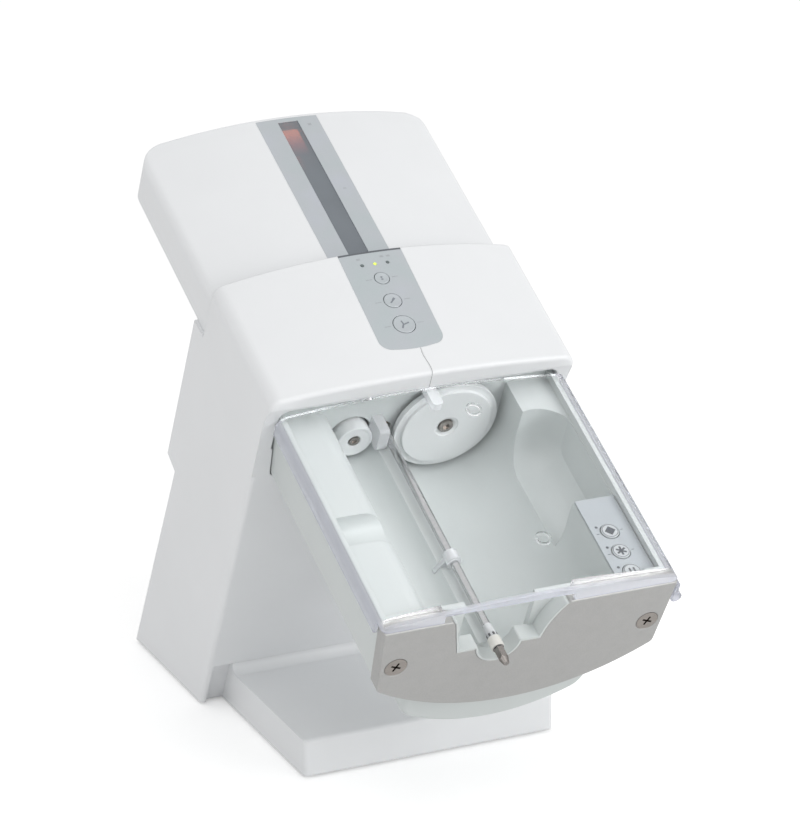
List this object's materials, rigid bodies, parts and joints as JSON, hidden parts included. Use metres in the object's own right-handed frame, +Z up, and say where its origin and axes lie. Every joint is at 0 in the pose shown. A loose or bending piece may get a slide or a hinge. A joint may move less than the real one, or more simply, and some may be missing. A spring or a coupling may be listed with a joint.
{
  "type": "dental impression mixer",
  "caption": "Countertop dental impression mixer with a tilted head, clear-lidded cartridge bay, driven plungers, mixing shaft and slanted column.",
  "frame": {"origin": "centre of the bounding box in x and y, at the level of the table under the rubber feet", "axes": "+Z up, -Y towards the user at the front where the lid and the mixing shaft are, +X to the user's right"},
  "size_m": [0.181, 0.3546, 0.3185],
  "materials": {
    "white_shell": "satin white moulding",
    "rear_shell": "satin white moulding",
    "foot_shell": "satin white moulding",
    "under_shell": "plain white moulding",
    "silver_trim": "satin silver",
    "panel_silver": "satin silver",
    "window_smoke": "smoked window",
    "panel_key": "satin silver key",
    "lamp_lens": "lamp lens",
    "tray_tint": "pale grey green moulding",
    "belly_tint": "pale grey green moulding",
    "key_plate": "pale grey film",
    "tray_key": "pale grey key",
    "plate_metal": "satin",
    "screw_steel": "turned",
    "clear_lid": "clear",
    "clear_part": "clear",
    "plunger_white": "white disc",
    "shaft_steel": "ground",
    "sleeve_white": "white",
    "bronze": "turned",
    "carriage_metal": "milled",
    "chassis_metal": "sheet",
    "flag_orange": "orange",
    "pulley_metal": "turned",
    "belt_rubber": "ribbed",
    "motor_can": "can",
    "board_green": "circuit board",
    "back_white": "satin white",
    "black_plastic": "black",
    "rubber_foot": "rubber"
  },
  "bodies": {
    "base": {"back_panel": "back_white", "base_pan": "under_shell", "bearings": "bronze", "cartridge_key": "clear_part", "chassis_front": "chassis_metal", "chassis_pillars": "chassis_metal", "control_panel": "panel_silver", "feed_belt": "belt_rubber", "feed_motor": "motor_can", "foot": "foot_shell", "front_plate": "plate_metal", "guide_rods": "shaft_steel", "hinge_pin": "screw_steel", "housing_left": "white_shell", "housing_right": "white_shell", "keypad": "key_plate", "keypad_board": "board_green", "level_window": "window_smoke", "light_guide": "clear_part", "main_board": "board_green", "mains_inlet": "black_plastic", "mixer_belt": "belt_rubber", "mixer_motor": "motor_can", "motor_plate": "chassis_metal", "panel_board": "board_green", "panel_lamps": "lamp_lens", "plate_screws": "screw_steel", "power_supply": "board_green", "rear_cover": "rear_shell", "rear_floor": "under_shell", "rear_plate": "chassis_metal", "rubber_feet": "rubber_foot", "shaft_support": "clear_part", "switch_frame": "black_plastic", "tray": "tray_tint", "tray_belly": "belly_tint", "trim_strip": "silver_trim"},
    "lid": {"lid": "clear_lid"},
    "plunger_carriage": {"carriage": "carriage_metal", "carriage_bushes": "bronze", "drive_nut": "bronze", "level_flag": "flag_orange", "push_rods": "shaft_steel", "big_plunger": "plunger_white", "small_plunger": "plunger_white", "plunger_screws": "screw_steel"},
    "feed_screw": {"lead_screw": "shaft_steel", "screw_pulley": "pulley_metal"},
    "feed_drive": {"feed_motor_pulley": "pulley_metal"},
    "mixer": {"mixing_shaft": "shaft_steel", "shaft_sleeve": "sleeve_white", "shaft_pulley": "pulley_metal"},
    "mixer_drive": {"mixer_motor_pulley": "pulley_metal"},
    "power_rocker": {"power_rocker": "black_plastic"},
    "panel_button_1": {"panel_button_1": "panel_key"},
    "keypad_button_1": {"keypad_button_1": "tray_key"},
    "panel_button_2": {"panel_button_2": "panel_key"},
    "keypad_button_2": {"keypad_button_2": "tray_key"},
    "panel_button_3": {"panel_button_3": "panel_key"},
    "keypad_button_3": {"keypad_button_3": "tray_key"}
  },
  "joints": [
    {"name": "lid_hinge", "type": "hinge", "parent": "base", "child": "lid", "pos_m": [0.087, -0.09702, 0.16081], "axis": [0, 0.8934, 0.4493], "range_deg": [0, 110]},
    {"name": "plunger_feed", "type": "slide", "parent": "base", "child": "plunger_carriage", "axis": [0, -0.8934, -0.4493], "range_m": [0, 0.118]},
    {"name": "feed_screw_turn", "type": "hinge", "parent": "base", "child": "feed_screw", "pos_m": [0.003, 0.06635, 0.25216], "axis": [0, 0.8934, 0.4493], "range_deg": [-1, 10621]},
    {"name": "feed_motor_turn", "type": "hinge", "parent": "base", "child": "feed_drive", "pos_m": [0.003, 0.05557, 0.08443], "axis": [0, 0.8934, 0.4493], "range_deg": [-1, 10621]},
    {"name": "mixer_turn", "type": "hinge", "parent": "base", "child": "mixer", "pos_m": [-0.0146, -0.07568, 0.15621], "axis": [0, 0.8934, 0.4493], "continuous": true},
    {"name": "mixer_motor_turn", "type": "hinge", "parent": "base", "child": "mixer_drive", "pos_m": [-0.0146, 0.03083, 0.14474], "axis": [0, 0.8934, 0.4493], "continuous": true},
    {"name": "power_switch", "type": "hinge", "parent": "base", "child": "power_rocker", "pos_m": [0.0215, 0.10346, 0.16168], "axis": [0, -0.4493, 0.8934], "range_deg": [0, 14.4]},
    {"name": "panel_press_1", "type": "slide", "parent": "base", "child": "panel_button_1", "axis": [0, 0.5141, -0.8577], "range_m": [0, 0.0008], "stiffness_N_per_m": 400},
    {"name": "keypad_press_1", "type": "slide", "parent": "base", "child": "keypad_button_1", "axis": [0, 0.4493, -0.8934], "range_m": [0, 0.0008], "stiffness_N_per_m": 400},
    {"name": "panel_press_2", "type": "slide", "parent": "base", "child": "panel_button_2", "axis": [0, 0.5141, -0.8577], "range_m": [0, 0.0008], "stiffness_N_per_m": 400},
    {"name": "keypad_press_2", "type": "slide", "parent": "base", "child": "keypad_button_2", "axis": [0, 0.4493, -0.8934], "range_m": [0, 0.0008], "stiffness_N_per_m": 400},
    {"name": "panel_press_3", "type": "slide", "parent": "base", "child": "panel_button_3", "axis": [0, 0.5141, -0.8577], "range_m": [0, 0.0008], "stiffness_N_per_m": 400},
    {"name": "keypad_press_3", "type": "slide", "parent": "base", "child": "keypad_button_3", "axis": [0, 0.4493, -0.8934], "range_m": [0, 0.0008], "stiffness_N_per_m": 400}
  ],
  "couplings": [
    {"joint": "feed_screw_turn", "follows": "plunger_feed", "rad_per_m": 1570.8},
    {"joint": "feed_motor_turn", "follows": "plunger_feed", "rad_per_m": 1570.8},
    {"joint": "mixer_motor_turn", "follows": "mixer_turn", "ratio": 1}
  ]
}
